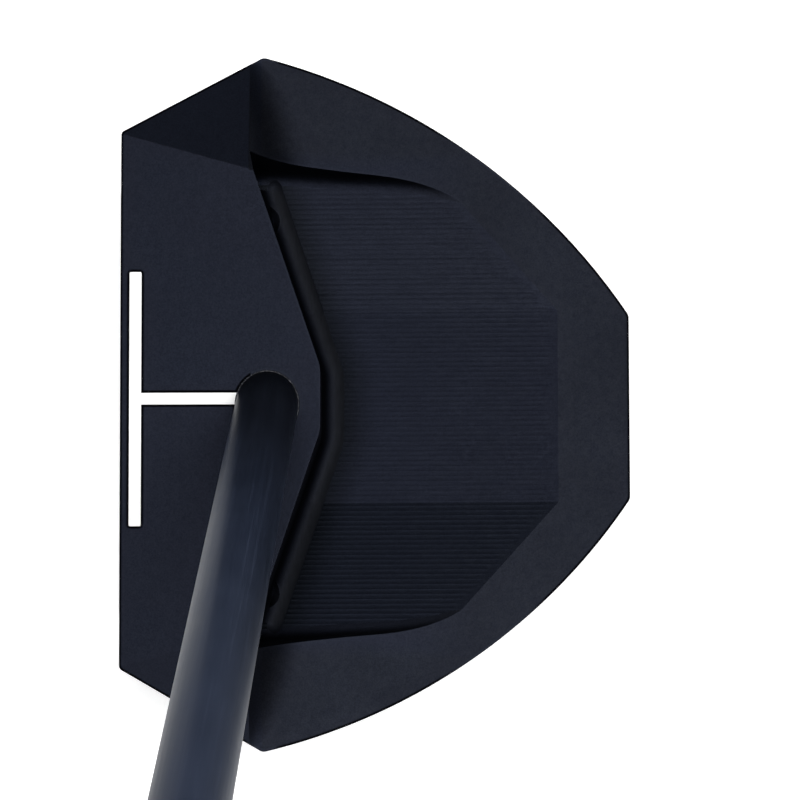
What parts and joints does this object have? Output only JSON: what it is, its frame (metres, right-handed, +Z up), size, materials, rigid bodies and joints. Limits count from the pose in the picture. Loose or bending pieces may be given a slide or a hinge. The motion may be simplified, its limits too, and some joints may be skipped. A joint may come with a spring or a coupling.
{
  "type": "mallet putter",
  "caption": "Right-handed golf putter with a milled black mallet head, white T alignment mark, stepped steel shaft and pistol grip.",
  "frame": {"origin": "centre of the sole plane, under the middle of the head's plan outline", "axes": "+Z up from the ground; -X towards the target, the way the face looks; +X to the back of the head; +Y to the toe, -Y to the heel and the golfer"},
  "size_m": [0.0805, 0.3569, 0.815],
  "materials": {
    "head": "bead-blasted, black anodised, with milled lines in the pocket",
    "insert": "face-milled, blackened",
    "film": "cured bonding film",
    "pin": "ground",
    "mark": "white paint fill",
    "epoxy": "cured epoxy",
    "shaft": "gloss dark blue-grey",
    "plug": "moulded",
    "weight": "turned",
    "tape": "double-sided tape",
    "grip_core": "foamed rubber",
    "grip_skin": "textured soft polymer",
    "grip_trim": "moulded rubber"
  },
  "bodies": {
    "root": {"head_body": "head", "face_insert": "insert", "insert_bond_film": "film", "insert_pins": "pin", "alignment_fill": "mark", "shaft_bond_sleeve": "epoxy", "shaft": "shaft", "shaft_tip_plug": "plug", "grip_tape": "tape", "grip_underlisting": "grip_core", "grip_skin": "grip_skin", "grip_mouth_collar": "grip_trim", "grip_butt_cap": "grip_trim", "sole_weight_front_toe": "weight", "sole_weight_front_heel": "weight", "sole_weight_side_toe": "weight", "sole_weight_side_heel": "weight", "sole_weight_wing_toe": "weight", "sole_weight_wing_heel": "weight", "sole_weight_back_toe": "weight", "sole_weight_back_heel": "weight"}
  },
  "joints": []
}
